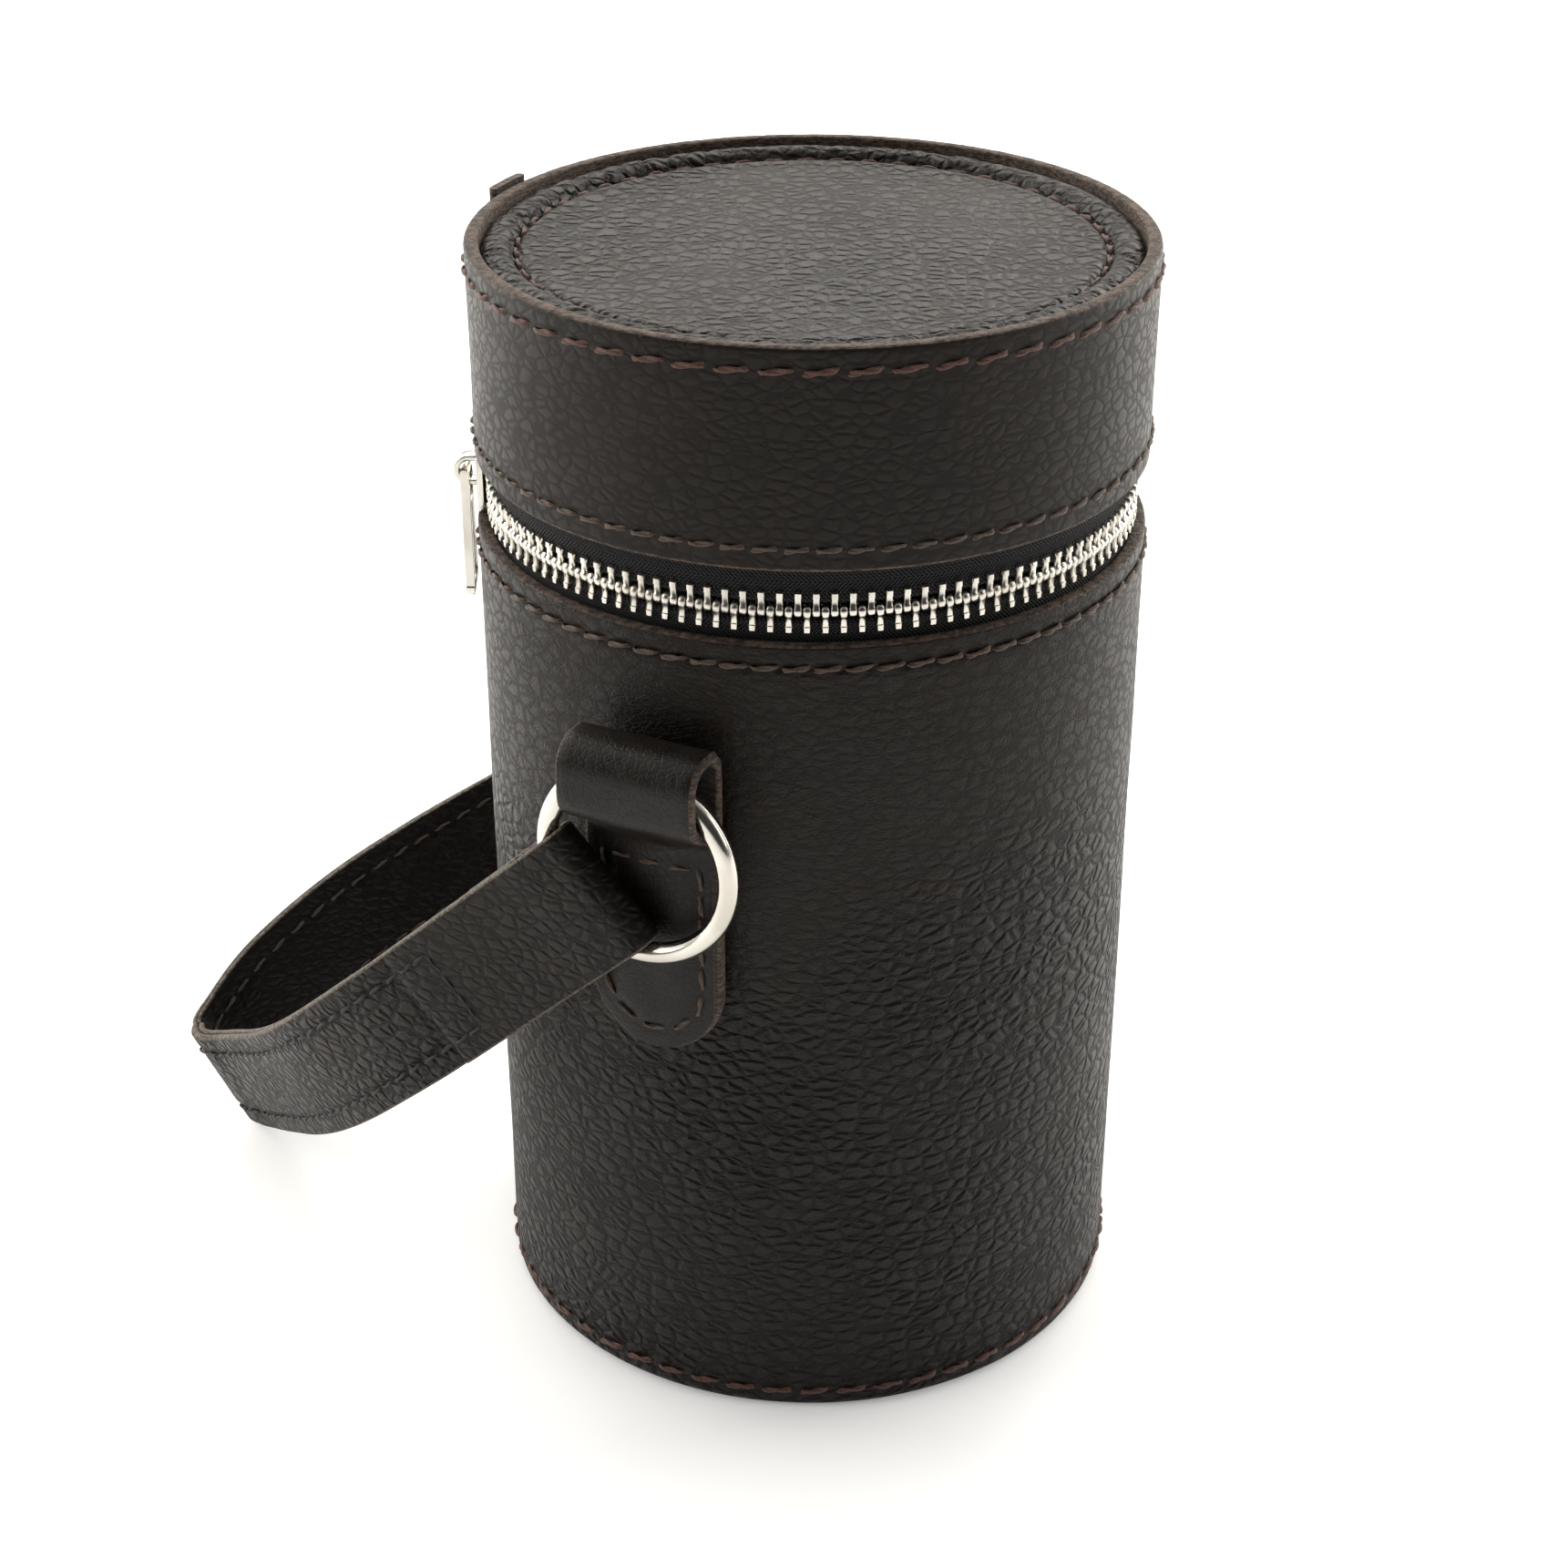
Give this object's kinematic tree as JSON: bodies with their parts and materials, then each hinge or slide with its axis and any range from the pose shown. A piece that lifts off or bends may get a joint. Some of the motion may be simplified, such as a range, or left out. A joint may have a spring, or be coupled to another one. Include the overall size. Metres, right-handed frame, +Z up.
{
  "type": "leather dice cup",
  "caption": "Round lidded leather dice cup case with a zip round the lid, a leather hinge at the back, side rings in leather keepers and a looped carrying strap.",
  "frame": {"origin": "centre of the base face, on the plane that the case stands on", "axes": "+Z up along the cup's axis, +Y towards the lid's hinge and the strap's bend, rings at -X and +X"},
  "size_m": [0.1194, 0.1595, 0.1715],
  "materials": {
    "grained_leather": "pebbled grain, satin",
    "smooth_leather": "smooth, satin",
    "thread": "waxed twisted thread",
    "board": "grey pulp board",
    "lining_cloth": "short pile cloth",
    "zip_tape": "woven herringbone tape",
    "nickel": "polished nickel"
  },
  "bodies": {
    "cup": {"cup_wall_leather": "grained_leather", "cup_stiffener": "board", "cup_lining": "lining_cloth", "base_leather": "grained_leather", "base_board": "board", "base_lining": "lining_cloth", "base_stitching": "thread", "cup_zip_stitching": "thread", "zip_tape_lower": "zip_tape", "zip_teeth_lower": "nickel", "zip_top_stop_lower": "nickel", "zip_bottom_stop": "nickel", "wall_seam_strip": "grained_leather", "hinge_strip": "grained_leather", "keeper_left": "smooth_leather", "keeper_right": "smooth_leather", "keeper_stitching_left": "thread", "keeper_stitching_right": "thread"},
    "lid": {"lid_wall_leather": "grained_leather", "lid_stiffener": "board", "lid_lining": "lining_cloth", "lid_top_leather": "grained_leather", "lid_top_board": "board", "lid_top_lining": "lining_cloth", "lid_rim_stitching": "thread", "lid_top_stitching": "thread", "lid_zip_stitching": "thread", "zip_tape_upper": "zip_tape", "zip_teeth_upper": "nickel", "zip_top_stop_upper": "nickel", "lid_seam_strip": "grained_leather"},
    "slider": {"slider_body": "nickel", "slider_crown": "nickel"},
    "pull": {"zip_pull": "nickel"},
    "ring_left": {"ring_left": "nickel"},
    "ring_right": {"ring_right": "nickel"},
    "handle": {"strap_outer": "grained_leather", "strap_lining": "grained_leather", "strap_end_left": "smooth_leather", "strap_end_right": "smooth_leather", "strap_stitching": "thread"}
  },
  "joints": [
    {"name": "lid_hinge", "type": "hinge", "parent": "cup", "child": "lid", "pos_m": [0, 0.049, 0.1337], "axis": [-1, 0, 0], "range_deg": [0, 100], "deforming": ["hinge_strip"]},
    {"name": "slider_travel", "type": "hinge", "parent": "cup", "child": "slider", "pos_m": [0, 0, 0.1337], "axis": [0, 0, 1], "range_deg": [0, 310], "deforming": ["zip_teeth_lower", "zip_teeth_upper"]},
    {"name": "pull_swing", "type": "hinge", "parent": "slider", "child": "pull", "pos_m": [-0.02138, 0.04586, 0.1349], "axis": [0.9063, 0.4226, 0], "range_deg": [0, 170]},
    {"name": "ring_left_turn", "type": "hinge", "parent": "cup", "child": "ring_left", "pos_m": [-0.056, 0, 0.0976], "axis": [1, 0, 0], "continuous": true},
    {"name": "ring_right_turn", "type": "hinge", "parent": "cup", "child": "ring_right", "pos_m": [0.056, 0, 0.0976], "axis": [1, 0, 0], "continuous": true},
    {"name": "handle_swing", "type": "hinge", "parent": "cup", "child": "handle", "pos_m": [0, 0, 0.0976], "axis": [1, 0, 0], "range_deg": [0, 4]}
  ]
}
